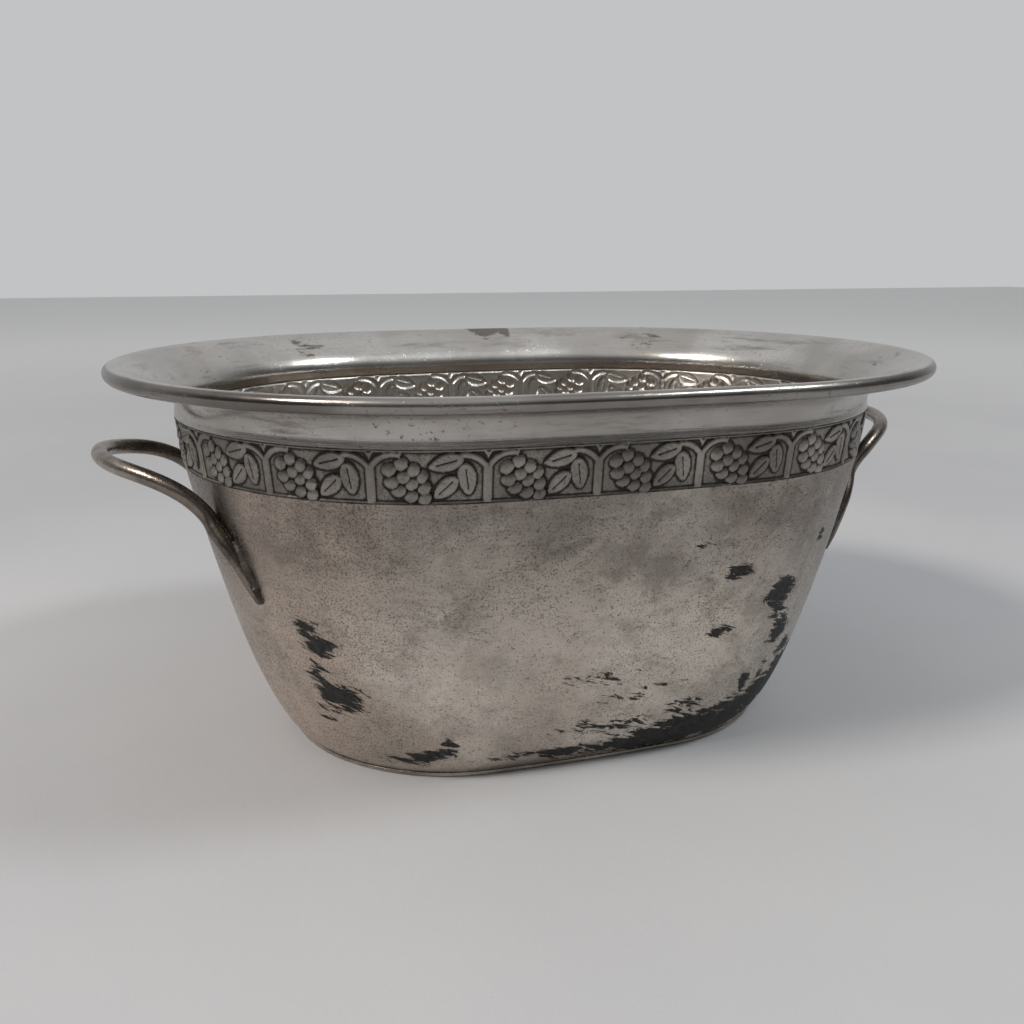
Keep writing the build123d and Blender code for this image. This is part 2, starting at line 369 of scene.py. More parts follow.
def build_die():
    """One length of the vine as it is cut on the die, lying flat, in mm."""
    parts = []
    for ends in (0.0, MOTIF_LONG):
        post = [(ends, -2.0), (ends, 6.0), (ends, 12.0), (ends, 18.5)]
        parts.append(strand("post", post, POST_WIDTH, RELIEF * 0.72))
        deselect()
        bpy.ops.mesh.primitive_cone_add(vertices=3, radius1=3.9, radius2=1.6, depth=1.2,
                                        rotation=(0, 0, math.radians(60)))
        boss = bpy.context.object
        boss.data.transform(Matrix.Translation((ends, 25.0, 0.3)) @ boss.matrix_world)
        boss.matrix_world = Matrix.Identity(4)
        parts.append(boss)
    for line in ARCHES:
        parts.append(strand("arch", line, ARCH_WIDTH, RELIEF * 0.66))
    for index, (x, y) in enumerate(sorted(GRAPES, key=lambda spot: -spot[1])):
        parts.append(grape(x, y, 0.05 * index - 0.1))
    parts += [leaf(*shape) for shape in LEAVES]
    for height in (EDGE_BEAD_INSET, MOTIF_HIGH - EDGE_BEAD_INSET):
        line = [(-5, height), (20, height), (40, height), (65, height)]
        parts.append(strand("edge_bead", line, EDGE_BEAD_WIDTH, RELIEF * 0.5))
    deselect()
    bpy.ops.mesh.primitive_plane_add(size=DIE_HALO)
    parts.append(bpy.context.object)
    deselect()
    for part in parts:
        part.select_set(True)
    bpy.context.view_layer.objects.active = parts[-1]
    bpy.ops.object.join()
    die = bpy.context.object
    die.name = "vine_die"
    return die


def press_sheet(die):
    """A flat sheet pressed on the die. Returns its relief by column and row, in mm."""
    deselect()
    bpy.ops.mesh.primitive_grid_add(x_subdivisions=MOTIF_COLUMNS, y_subdivisions=MOTIF_ROWS, size=1)
    sheet = bpy.context.object
    stretch = Matrix.Diagonal((MOTIF_LONG, MOTIF_HIGH, 1, 1))
    sheet.data.transform(Matrix.Translation((MOTIF_LONG / 2, MOTIF_HIGH / 2, 5)) @ stretch)
    press = sheet.modifiers.new("press", "SHRINKWRAP")
    press.target = die
    press.wrap_method = "PROJECT"
    press.use_project_z = True
    press.use_positive_direction = False
    press.use_negative_direction = True
    bpy.ops.object.modifier_apply(modifier="press")
    relief = np.zeros((MOTIF_COLUMNS + 1, MOTIF_ROWS + 1))
    for vertex in sheet.data.vertices:
        column = round(vertex.co.x / MOTIF_LONG * MOTIF_COLUMNS)
        row = round(vertex.co.y / MOTIF_HIGH * MOTIF_ROWS)
        relief[column, row] = vertex.co.z
    bpy.data.objects.remove(sheet)
    bpy.data.objects.remove(die)
    return relief


def softened(field, passes):
    """A field with its steps rounded off, joined end to end along the band."""
    for _ in range(passes):
        side = (np.roll(field, 1, 0) + np.roll(field, -1, 0)) / 2
        padded = np.pad(field, ((0, 0), (1, 1)), mode="edge")
        up = (padded[:, :-2] + padded[:, 2:]) / 2
        field = field * 0.4 + side * 0.3 + up * 0.3
    return field


GROUND_HEIGHT = 0.12            # what lies lower on the die is flat ground
CHASED_SPREAD = 10              # softening passes that find the hollows beside the shapes
CHASED_DEPTH = 1.15             # how much deeper those hollows are cut


def vine_relief():
    """Relief of one motif, how deep each spot lies among its neighbours, and where the flat ground is."""
    relief = press_sheet(build_die())[:-1]
    ground = softened((relief < GROUND_HEIGHT).astype(float), 2)
    chased = np.clip(softened(relief, CHASED_SPREAD) - relief, 0, None)
    relief = softened(relief, 1) - CHASED_DEPTH * chased
    return relief, chased, ground


INSIDE = -0.3                   # kept as the hollow of every point on the band's inner face
BAND_SINK = 0.75                # how far the flat ground lies under the band's plain surface, in mm
BAND_SHIFT = 0.0013             # the first post stands this share of the way round before the -X end


def build_band(vine, index, first, last):
    """One run of the band, from motif to motif, with the vine standing out and reversed inside."""
    relief, hollow, ground = vine
    columns = (last - first) * MOTIF_COLUMNS
    rows = MOTIF_ROWS + 1
    steps = random.Random(7 + index)
    stamp = [1 + steps.uniform(-0.08, 0.05) for _ in range(last - first + 1)]
    place_rows = list(range(rows)) + list(reversed(range(rows)))
    depth = np.zeros((columns + 1, len(place_rows), 2))

    def place(share, row):
        # the run is open at both ends, so the share is taken up to its very end
        column = round(share * columns)
        level = place_rows[row % len(place_rows)]
        inside = row % len(place_rows) >= rows
        motif = min(column // MOTIF_COLUMNS, last - first)
        height = level / MOTIF_ROWS
        raised = (relief[column % MOTIF_COLUMNS, level] * stamp[motif] - BAND_SINK) * MM
        at = column % MOTIF_COLUMNS, level
        depth[column, row % len(place_rows)] = (INSIDE, 0.0) if inside else (hollow[at], ground[at])
        off = BAND_FLARE * height + raised - (BAND_SHEET if inside else 0.0)
        around = 0.5 + (first + column / MOTIF_COLUMNS) / MOTIFS - BAND_SHIFT
        point, _ = band_oval.at(around, off)
        return point.x, point.y, BAND_BOTTOM + (BAND_TOP - BAND_BOTTOM) * height

    return open_run(f"vine_band_{index}", columns, len(place_rows), place, depth)


def open_run(name, columns, rows, place, depth):
    """A tube with flat closed ends: rows go round the section and columns along it."""
    deselect()
    bpy.ops.mesh.primitive_grid_add(x_subdivisions=columns, y_subdivisions=rows, size=1)
    piece = bpy.context.object
    piece.name = name
    coords = np.empty((len(piece.data.vertices), 3))
    values = np.empty((len(piece.data.vertices), 2), np.float32)
    for index, vertex in enumerate(piece.data.vertices):
        column = round((vertex.co.x + 0.5) * columns)
        row = round((vertex.co.y + 0.5) * rows) % rows
        coords[index] = place(column / columns, row)
        values[index] = depth[column, row]
    piece.data.vertices.foreach_set("co", coords.ravel())
    for index, kept in enumerate(("hollow", "ground")):
        mark_points(piece, kept, np.ascontiguousarray(values[:, index]))
    edit(piece)
    bpy.ops.mesh.remove_doubles(threshold=MERGE_GAP)
    bpy.ops.mesh.fill_holes(sides=0)
    bpy.ops.mesh.select_all(action="SELECT")
    bpy.ops.mesh.normals_make_consistent(inside=False)
    bpy.ops.object.mode_set(mode="OBJECT")
    bpy.ops.object.shade_smooth_by_angle(angle=SHARP_RELIEF)
    return piece


# ---------------- collar and foot

def arc(out, up, radius, angles):
    """Points of a circle in a section, at angles in degrees."""
    turns = [math.radians(angle) for angle in angles]
    return [(out + radius * math.cos(turn), up + radius * math.sin(turn)) for turn in turns]


NECK_WAIST = 0.5 * MM           # how far the neck pulls in above the band
NECK_RISE = 4.5 * MM            # and how far up
NECK_LEAN = 0.05
COLLAR_STEPS = 34
CURL = range(80, -201, -10)     # turn of the rolled edge, from over the wire round to its inner side


def build_collar():
    """Neck, flared lip and the edge rolled down round the rim wire, in one sheet."""
    inner_roll = ROLL_RADIUS - COLLAR_SHEET
    neck = BAND_FLARE - NECK_WAIST
    rise = LIP_LOW + NECK_RISE
    curl_start = RIM_REACH - ROLL_RADIUS * 2
    under = smooth_line(
        [(BAND_FLARE, LIP_LOW), (neck, rise),
         (curl_start, RIM_HEIGHT + inner_roll - ROLL_RADIUS / 2), (RIM_REACH, RIM_HEIGHT + inner_roll)],
        (-NECK_LEAN, 1), (1, 0), COLLAR_STEPS,
    )
    top = smooth_line(
        [(RIM_REACH, RIM_HEIGHT + ROLL_RADIUS), (curl_start, RIM_HEIGHT + ROLL_RADIUS / 2),
         (neck - COLLAR_SHEET, rise), (BAND_FLARE - COLLAR_SHEET, LIP_LOW)],
        (-1, 0), (NECK_LEAN, -1), COLLAR_STEPS,
    )
    hidden = arc(RIM_REACH, RIM_HEIGHT, inner_roll, CURL)
    rolled = arc(RIM_REACH, RIM_HEIGHT, ROLL_RADIUS, reversed(CURL))
    return swept_round("rolled_collar", AROUND, under + hidden + rolled + top, band_oval)


FOOT_WIDTH = 3.2 * MM
FOOT_CORNER = 0.9 * MM


def build_foot():
    """The flat wire that the bucket stands on, with rounded corners."""
    section = []
    for corner in range(4):
        middle_out = -FOOT_CORNER if corner in (0, 3) else FOOT_CORNER - FOOT_WIDTH
        middle_up = foot_high.z - FOOT_CORNER if corner in (0, 1) else foot_low.z + FOOT_CORNER
        turns = [90 * corner + 22.5 * step for step in range(5)]
        section += arc(middle_out, middle_up, FOOT_CORNER, turns)
    return swept_round("foot_wire", AROUND, section, foot_oval)


# ---------------- handles

ROD = 4.55                      # radius of the rod, in mm
LEG_GAP = 0.15                  # between a leg and the wall
LEFT_REACH = 45.2               # of the bend beyond the band, in mm
RIGHT_REACH = 40.0
# the rod's middle from the bend's middle to a leg's tip, in mm: reach beyond the band, half spread, height
ROD_LINE = [
    (45.2, 0.0, 181.8), (44.4, 9.1, 181.5), (42.0, 17.9, 180.8), (38.0, 26.3, 179.7),
    (32.4, 33.9, 178.4), (25.6, 40.6, 176.7), (18.0, 46.1, 174.3), (10.1, 50.4, 170.9),
    (2.4, 53.2, 166.3), (-4.6, 54.4, 160.2), (-10.5, 56.4, 153.1),
]
LEG_LINE = [(60.6, 146.4), (64.9, 139.6), (67.8, 132.2), (69.6, 124.2), (70.6, 115.6), (70.9, 106.6)]
LEG_SIZES = [4.45, 4.05, 3.45, 2.85, 2.2, 1.2]
SOLDER_BANK = [-1.2, 0.5, 1.2, 1.4, 1.0]          # how much fatter the solder is, from the second spot down


def leg_spot(half_spread, height, off):
    """A point held off the wall of the +X end, in mm."""
    lean = (wall_end_x(0, (height + 1) * MM) - wall_end_x(0, (height - 1) * MM)) / (2 * MM)
    out = off / math.sqrt(1 + lean**2)
    x = wall_end_x(half_spread * MM, height * MM, out * MM) / MM
    return Vector((x, half_spread, height - out * lean))


def rod_path(reach):
    """Points and radii of the near half of a handle, from the middle of the bend down to the leg's tip."""
    points, sizes = [], []
    band_end = BAND_HALF_LENGTH / MM
    for out, half_spread, height in ROD_LINE:
        out = out * reach / LEFT_REACH if out > 0 else out
        points.append(Vector((band_end + out, half_spread, height)))
        sizes.append(ROD)
    for (half_spread, height), size in zip(LEG_LINE, LEG_SIZES):
        points.append(leg_spot(half_spread, height, size + LEG_GAP))
        sizes.append(size)
    return points, sizes


BLUNT = 0.6                     # how far a rod's end stands out, as a share of its radius


def blunt_end(middle, direction, radius):
    """Centres and radii of the rings that close a rod, from the rod outwards."""
    turns = [math.radians(angle) for angle in (20, 40, 60, 78, 90)]
    return [
        (middle + direction * radius * BLUNT * math.sin(turn), max(radius * math.cos(turn), 1e-4))
        for turn in turns
    ]


def tube(name, points, sizes, sides=24, finer=6):
    """A rod through points, with rounded blunt ends, swept without twist."""
    line = np.array([tuple(point) for point in points])
    run = np.concatenate([[0], np.cumsum(np.linalg.norm(np.diff(line, axis=0), axis=1))])
    slopes = np.gradient(line, run, axis=0)
    stations, radii = [], []
    for i in range(len(line) - 1):
        gap = run[i + 1] - run[i]
        piece_run = bezier((line[i], line[i] + slopes[i] * gap / 3, line[i + 1] - slopes[i + 1] * gap / 3,
                            line[i + 1]), finer + 1)
        last = i == len(line) - 2
        stations.extend(piece_run if last else piece_run[:-1])
        steps = np.linspace(sizes[i], sizes[i + 1], finer + 1)
        radii.extend(steps if last else steps[:-1])
    stations, radii = np.array(stations), np.array(radii)
    start, end = stations[0] - stations[1], stations[-1] - stations[-2]
    start, end = start / np.linalg.norm(start), end / np.linalg.norm(end)
    head = blunt_end(stations[0], start, radii[0])[::-1]
    tail = blunt_end(stations[-1], end, radii[-1])
    stations = np.array([spot for spot, _ in head] + list(stations) + [spot for spot, _ in tail])
    radii = np.array([size for _, size in head] + list(radii) + [size for _, size in tail])
    forward = np.gradient(stations, axis=0)
    forward /= np.linalg.norm(forward, axis=1)[:, None]
    side = np.cross(forward[0], (0.3, 0.1, 1.0))
    sides_at = []
    for direction in forward:
        side = side - direction * side.dot(direction)
        side = side / np.linalg.norm(side)
        sides_at.append(side)

    def place(share, row):
        angle = 2 * math.pi * share
        other = np.cross(forward[row], sides_at[row])
        ring = sides_at[row] * math.cos(angle) + other * math.sin(angle)
        return tuple((stations[row] + ring * radii[row]) * MM)

    return rolled_sheet(name, sides, len(stations) - 1, place)


def build_handle(name, reach, x):
    points, sizes = rod_path(reach)
    other = [Vector((p.x, -p.y, p.z)) for p in reversed(points[1:])]
    handle = tube(name, other + points, sizes[:0:-1] + sizes)
    if x < 0:
        handle.data.transform(Matrix.Diagonal((-1, 1, 1, 1)))
        handle.data.flip_normals()
    return handle


SOLDER_DEPTH = 0.55 * MM        # no solder lies deeper in the wall than this, and lumps start this far out
SOLDER_LUMP = 0.28 * MM
SOLDER_SHARE = 0.85             # of the leg's radius, before the bank is added


def build_solder(name, x, y, seed):
    """The lumpy solder that beds one leg against the wall."""
    points, sizes = [], []
    for (half_spread, height), size, bank in zip(LEG_LINE[1:], LEG_SIZES[1:], SOLDER_BANK):
        points.append(leg_spot(half_spread, height, 0.0))
        sizes.append(size * SOLDER_SHARE + bank)
    bank = tube(name, points, sizes, sides=40, finer=12)
    rough = random.Random(seed)
    phase = [rough.uniform(0, 6.28) for _ in range(4)]
    for vertex in bank.data.vertices:
        p = vertex.co / MM
        lump = 0.5 * math.sin(0.9 * p.z + phase[0]) + 0.35 * math.sin(1.7 * p.y + 0.8 * p.z + phase[1])
        lump += 0.3 * math.sin(2.3 * p.z - 1.1 * p.y + phase[2])
        oval = wall_oval(p.z * MM)
        from_end = Vector((p.x * MM - oval.end_x, p.y * MM, 0))
        beyond = from_end.length - oval.end
        out = from_end.normalized()
        if beyond > SOLDER_DEPTH:
            lift = SOLDER_LUMP * lump
            vertex.co += out * lift * 0.7 + Vector((0, math.copysign(0.5, p.y) * lift, 0))
        elif beyond < -SOLDER_DEPTH:
            vertex.co += out * (-SOLDER_DEPTH - beyond)
    bank.data.transform(Matrix.Diagonal((x, y, 1, 1)))
    close_seams(bank, 0.0005 * MM)
    return bank


# ---------------- finishes

class Nodes:
    """A node tree built up from small named steps."""

    def __init__(self, tree, coordinates):
        self.tree = tree
        self.spot = tree.nodes.new("ShaderNodeTexCoord").outputs[coordinates]

    def put(self, socket, value):
        if isinstance(value, bpy.types.NodeSocket):
            self.tree.links.new(value, socket)
        elif isinstance(value, tuple) and len(value) == 3 and socket.type == "RGBA":
            socket.default_value = (*value, 1.0)
        else:
            socket.default_value = value

    def math(self, operation, a, b=0.0, clamp=False):
        node = self.tree.nodes.new("ShaderNodeMath")
        node.operation = operation
        node.use_clamp = clamp
        self.put(node.inputs[0], a)
        self.put(node.inputs[1], b)
        return node.outputs[0]

    def times(self, a, b):
        return self.math("MULTIPLY", a, b)

    def plus(self, a, b):
        return self.math("ADD", a, b)

    def minus(self, a, b):
        return self.math("SUBTRACT", a, b)

    def most(self, a, b):
        return self.math("MAXIMUM", a, b)

    def vector(self, operation, a, b=(0.0, 0.0, 0.0)):
        node = self.tree.nodes.new("ShaderNodeVectorMath")
        node.operation = operation
        self.put(node.inputs[0], a)
        self.put(node.inputs[1], b)
        return node.outputs["Value" if operation in ("LENGTH", "DOT_PRODUCT", "DISTANCE") else "Vector"]

    def stretched(self, x, y, z, shift=0.0):
        """The spot on the object, stretched so that marks get longer along the low numbers."""
        return self.vector("ADD", self.vector("MULTIPLY", self.spot, (x, y, z)), (shift, shift, shift))

    def noise(self, scale, detail=4.0, rough=0.5, spot=None, warp=0.0):
        node = self.tree.nodes.new("ShaderNodeTexNoise")
        self.put(node.inputs["Vector"], spot or self.spot)
        self.put(node.inputs["Scale"], scale)
        self.put(node.inputs["Detail"], detail)
        self.put(node.inputs["Roughness"], rough)
        self.put(node.inputs["Distortion"], warp)
        return node.outputs["Fac"]

    def cells(self, scale, spot=None):
        node = self.tree.nodes.new("ShaderNodeTexVoronoi")
        self.put(node.inputs["Vector"], spot or self.spot)
        self.put(node.inputs["Scale"], scale)
        return node.outputs["Distance"]

    def step(self, value, low, high, to_low=0.0, to_high=1.0):
        """A soft step from one level to another as the value passes from low to high."""
        node = self.tree.nodes.new("ShaderNodeMapRange")
        node.interpolation_type = "SMOOTHSTEP"
        self.put(node.inputs["Value"], value)
        for socket, number in zip(("From Min", "From Max", "To Min", "To Max"), (low, high, to_low, to_high)):
            self.put(node.inputs[socket], number)
        return node.outputs["Result"]

    def blend(self, share, first, second):
        """Colour that passes from the first to the second by a share."""
        node = self.tree.nodes.new("ShaderNodeMix")
        node.data_type = "RGBA"
        self.put(node.inputs["Factor"], share)
        self.put(node.inputs["A"], first)
        self.put(node.inputs["B"], second)
        return node.outputs["Result"]

    def painted(self, name):
        """A value kept at each point of the piece."""
        node = self.tree.nodes.new("ShaderNodeAttribute")
        node.attribute_name = name
        return node.outputs["Fac"]

    def axes(self):
        """The x, y and z of the spot."""
        split = self.tree.nodes.new("ShaderNodeSeparateXYZ")
        self.put(split.inputs[0], self.spot)
        return split.outputs

    def thrice(self, axis):
        """One coordinate of the spot in all three places, to shear marks that run aslant."""
        joined = self.tree.nodes.new("ShaderNodeCombineXYZ")
        for socket in joined.inputs:
            self.put(socket, self.axes()[axis])
        return joined.outputs[0]


class Finish(Nodes):
    """A metal or cloth, whose marks lie on the object's own coordinates."""

    def __init__(self, name):
        self.material = bpy.data.materials.new(name)
        self.material.use_nodes = True
        super().__init__(self.material.node_tree, "Object")
        self.shader = self.tree.nodes["Principled BSDF"]

    def tint(self, share, colour):
        """Lays a colour over the finish by a share."""
        self.colour = self.blend(share, self.colour, colour)

    def done(self, rough, metal, bump=None, depth=0.05, size=0.001):
        self.put(self.shader.inputs["Base Color"], self.colour)
        self.put(self.shader.inputs["Roughness"], rough)
        self.put(self.shader.inputs["Metallic"], metal)
        if bump is not None:
            node = self.tree.nodes.new("ShaderNodeBump")
            self.put(node.inputs["Height"], bump)
            self.put(node.inputs["Strength"], depth)
            self.put(node.inputs["Distance"], size)
            self.tree.links.new(node.outputs["Normal"], self.shader.inputs["Normal"])
        return self.material


def segment_mark(finish, start, end, width):
    """1 on a straight scratch between two points of the wall in mm, 0 beyond its ragged sides."""
    level = Vector((1, 0, 1))
    start, end = Vector(start) * level * MM, Vector(end) * level * MM
    along = end - start
    reach = finish.vector("SUBTRACT", finish.vector("MULTIPLY", finish.spot, tuple(level)), tuple(start))
    run = finish.vector("DOT_PRODUCT", reach, tuple(along))
    share = finish.math("DIVIDE", run, along.length_squared, clamp=True)
    scaled = finish.tree.nodes.new("ShaderNodeVectorMath")
    scaled.operation = "SCALE"
    scaled.inputs[0].default_value = tuple(along)
    finish.put(scaled.inputs["Scale"], share)
    gap = finish.vector("DISTANCE", reach, scaled.outputs["Vector"])
    wobble = finish.times(finish.noise(260, 3), 0.0016)
    return finish.step(finish.plus(gap, wobble), (width + 0.8) * MM, (width + 0.15) * MM)


WORN_EDGE = 0.5
LONG_SCRATCHES = [((-107, -127, 95), (-77, -132, 83), 0.25), ((-14, -128, 57), (31, -131, 69), 0.25),
                  ((-20, -128, 120), (-5, -130, 124), 0.3), ((10, -128, 52), (75, -130, 62), 0.12)]


def aged_silver():
    """Thin worn plate on the wall: warm grey, finely scratched, pitted, and rubbed through in places."""
    f = Finish("aged_silver_plate")
    x, _, z = f.axes()
    cloud = f.noise(9, 6, 0.6, warp=0.4)
    fine_cloud = f.noise(42, 6, 0.7, f.stretched(1, 1, 1.6))
    brushed = f.noise(1, 5, 0.65, f.stretched(26, 26, 820))
    brushed_fine = f.noise(1, 3, 0.6, f.stretched(60, 60, 2600, 3.0))
    smoke = f.noise(28, 7, 0.72, f.stretched(1, 1, 1.3, 31.0), warp=0.5)
    crossed = f.noise(1, 2, 0.5, f.vector("ADD", f.stretched(340, 340, 210), f.stretched(20, 20, 20)))

    light, mid = (0.74, 0.675, 0.60), (0.56, 0.50, 0.435)
    f.colour = f.blend(f.step(cloud, 0.36, 0.66), mid, light)
    f.tint(f.step(fine_cloud, 0.42, 0.72, 0.0, 0.45), (0.33, 0.30, 0.27))
    # dark clouds, stronger towards the top of the wall
    darker_upwards = f.step(z, 0.03, 0.14, 0.28, 0.62)
    f.tint(f.times(f.step(smoke, 0.46, 0.66), darker_upwards), (0.21, 0.18, 0.155))
    pink = f.step(f.noise(15, 5, 0.7, f.stretched(1, 1, 1, 5.0)), 0.54, 0.72, 0.0, 0.5)
    f.tint(pink, (0.50, 0.40, 0.345))
    copper = f.times(f.step(x, -0.11, -0.155), f.step(smoke, 0.62, 0.40, 0.25, 0.8))
    f.tint(copper, (0.74, 0.60, 0.50))
    drifts = f.noise(13, 6, 0.7, f.stretched(1, 1, 1.4, 9.0))
    # more dark clouds on the upper wall, below the band
    under_band = f.times(f.step(z, 0.105, 0.160), f.step(drifts, 0.36, 0.60))
    f.tint(f.times(under_band, 0.55), (0.20, 0.175, 0.155))
    # tarnish and painted shade: the wall darkened towards the band and at both ends, where the metal mirrors
    # the dim room; at the left end it is also the painted shadow beside the leg
    high = f.step(f.plus(z, f.times(f.minus(cloud, 0.5), 0.12)), 0.08, 0.17, 0.0, 0.45)
    right_end_painted_shade = f.times(f.step(x, 0.115, 0.175), f.step(z, 0.07, 0.15, 0.10, 0.92))
    left_end_painted_shadow = f.times(f.step(x, -0.165, -0.205), f.step(z, 0.05, 0.14, 0.2, 0.85))
    ends = f.most(right_end_painted_shade, left_end_painted_shadow)
    tarnish_and_painted_shade = f.most(high, ends)
    f.tint(tarnish_and_painted_shade, (0.15, 0.13, 0.115))
    streak = f.step(brushed, 0.56, 0.75, 0.0, 0.35)
    f.tint(streak, (0.25, 0.225, 0.20))
    hair = f.step(brushed_fine, 0.58, 0.78, 0.0, 0.28)
    f.tint(hair, (0.72, 0.68, 0.63))

    # pits and specks, thickest where the plate has gone cloudy
    flock = f.noise(17, 5, 0.7, f.stretched(1, 1, 1.5, 21.0), warp=0.6)
    thick = f.plus(f.step(flock, 0.38, 0.60, 0.0, 0.032), f.step(x, -0.06, -0.14, 0.0, 0.026))
    specks = f.step(f.plus(f.noise(900, 5, 0.78), thick), 0.572, 0.622)
    big_specks = f.times(f.step(f.noise(210, 5, 0.8), 0.61, 0.65), f.step(flock, 0.42, 0.56))
    dashes = f.noise(1, 5, 0.75, f.stretched(150, 150, 900, 13.0))
    dashes = f.times(f.step(dashes, 0.60, 0.67), f.step(flock, 0.40, 0.55, 0.3, 1.0))
    aslant = f.vector("MULTIPLY", f.thrice(2), (900, 900, 0))
    slants = f.noise(1, 4, 0.7, f.vector("ADD", f.stretched(90, 90, 900), aslant))
    slants = f.times(f.step(slants, 0.63, 0.70), f.step(flock, 0.50, 0.62))
    pits = f.most(f.most(specks, big_specks), f.most(dashes, slants))
    f.tint(f.times(pits, 0.70), (0.095, 0.072, 0.057))

    # where the plate has gone: dark metal with ragged edges drawn out along the wall
    sheared = f.vector("ADD", f.stretched(75, 75, 290), f.vector("MULTIPLY", f.thrice(0), (0, 0, 95)))
    ragged = f.noise(1, 8, 0.75, sheared, warp=0.6)
    worn = f.plus(f.painted("worn"), f.times(f.minus(ragged, 0.5), 5.2))
    bare = f.step(worn, WORN_EDGE, WORN_EDGE + 0.05)
    halo = f.step(worn, WORN_EDGE - 0.22, WORN_EDGE)
    f.tint(f.times(halo, 0.35), (0.26, 0.21, 0.175))
    grain = f.step(f.noise(300, 4, 0.7), 0.4, 0.65)
    bare_metal = f.blend(grain, (0.012, 0.013, 0.012), (0.040, 0.040, 0.037))
    for start, end, width in LONG_SCRATCHES:
        f.tint(f.times(segment_mark(f, start, end, width), 0.85), (0.10, 0.085, 0.072))
    f.tint(bare, bare_metal)

    rough = f.plus(f.step(cloud, 0.3, 0.7, 0.26, 0.17), f.times(fine_cloud, 0.16))
    rough = f.plus(rough, f.times(f.most(pits, bare), 0.30))
    metal = f.minus(1.0, f.times(f.most(bare, f.times(pits, 0.6)), 0.65))
    bump = f.plus(f.times(brushed, 0.30), f.times(brushed_fine, 0.18))
    bump = f.plus(bump, f.times(f.noise(85, 5, 0.6), 0.9))
    bump = f.minus(bump, f.times(f.most(pits, bare), 0.6))
    bump = f.plus(bump, f.times(crossed, 0.1))
    return f.done(rough, metal, bump, 0.32, 0.0007)


def stamped_silver():
    """The vine band: dark patina in the hollows, rubbed lighter on the tops."""
    f = Finish("stamped_silver")
    hollow = f.painted("hollow")
    cloud = f.noise(24, 6, 0.65)
    fine = f.noise(420, 4, 0.7)
    f.colour = f.blend(f.step(cloud, 0.35, 0.68), (0.19, 0.172, 0.155), (0.38, 0.35, 0.315))
    f.tint(f.step(fine, 0.5, 0.75, 0.0, 0.4), (0.14, 0.125, 0.11))
    ground = f.painted("ground")
    f.tint(f.times(ground, 0.18), (0.12, 0.105, 0.092))
    stipple = f.times(f.step(f.cells(1500), 0.42, 0.25), f.step(cloud, 0.42, 0.58, 0.35, 1.0))
    stipple = f.times(stipple, ground)
    f.tint(f.times(stipple, 0.85), (0.035, 0.030, 0.026))
    dirt = f.step(f.plus(hollow, f.times(f.minus(fine, 0.5), 0.25)), 0.0, 0.17)
    f.tint(f.times(dirt, 0.95), (0.030, 0.026, 0.023))
    inner = f.step(hollow, -0.05, -0.2)
    f.tint(f.times(inner, f.step(cloud, 0.3, 0.6, 0.6, 1.0)), (0.50, 0.475, 0.44))
    rough = f.plus(0.34, f.times(dirt, 0.3))
    rough = f.plus(rough, f.times(f.minus(cloud, 0.5), 0.2))
    metal = f.minus(1.0, f.times(dirt, 0.6))
    bump = f.plus(fine, f.times(f.noise(150, 4, 0.6), 1.4))
    bump = f.minus(bump, f.times(stipple, 1.2))
    return f.done(rough, metal, bump, 0.42, 0.0006)


def collar_silver():
    """The neck and lip: smoother plate with tarnish streaks that run round it."""
    f = Finish("collar_silver")
    x = f.axes()[0]
    cloud = f.noise(11, 6, 0.6, warp=0.3)
    streaks = f.noise(1, 6, 0.7, f.stretched(16, 16, 190, 2.0), warp=0.2)
    brushed = f.noise(1, 4, 0.6, f.stretched(30, 30, 900))
    fine = f.noise(300, 4, 0.7)
    f.colour = f.blend(f.step(cloud, 0.36, 0.66), (0.50, 0.475, 0.445), (0.66, 0.64, 0.61))
    f.tint(f.step(streaks, 0.52, 0.70, 0.0, 0.6), (0.20, 0.175, 0.15))
    f.tint(f.step(brushed, 0.56, 0.75, 0.0, 0.35), (0.30, 0.27, 0.24))
    pink = f.step(f.noise(22, 4, 0.7, f.stretched(1, 1, 1, 4.0)), 0.56, 0.72, 0.0, 0.35)
    f.tint(pink, (0.52, 0.42, 0.36))
    specks = f.times(f.step(f.noise(330, 4, 0.7), 0.60, 0.66), f.step(cloud, 0.42, 0.6))
    f.tint(f.times(specks, 0.7), (0.09, 0.075, 0.062))
    # painted shade: the outer side of the neck and of the rolled edge darkened, more towards both ends
    outer = f.painted("outer")
    outer = f.times(outer, f.step(f.math("ABSOLUTE", x), 0.05, 0.20, 0.72, 1.0))
    f.tint(f.times(outer, f.step(cloud, 0.3, 0.7, 0.95, 0.75)), (0.085, 0.070, 0.060))
    stain = f.painted("stain")
    ragged = f.minus(f.noise(1, 6, 0.7, f.stretched(60, 60, 260)), 0.5)
    stained = f.step(f.plus(stain, f.times(ragged, 1.6)), 0.45, 0.62)
    f.tint(f.times(stained, 0.85), (0.055, 0.042, 0.032))
    rough = f.plus(f.step(cloud, 0.3, 0.7, 0.19, 0.26), f.times(f.step(streaks, 0.5, 0.7), 0.12))
    rough = f.plus(rough, f.times(stained, 0.2))
    metal = f.minus(1.0, f.times(f.most(specks, stained), 0.45))
    bump = f.plus(f.times(brushed, 0.35), f.times(f.noise(70, 5, 0.6), 0.8))
    bump = f.minus(bump, f.times(specks, 0.4))
    return f.done(rough, metal, bump, 0.28, 0.0006)


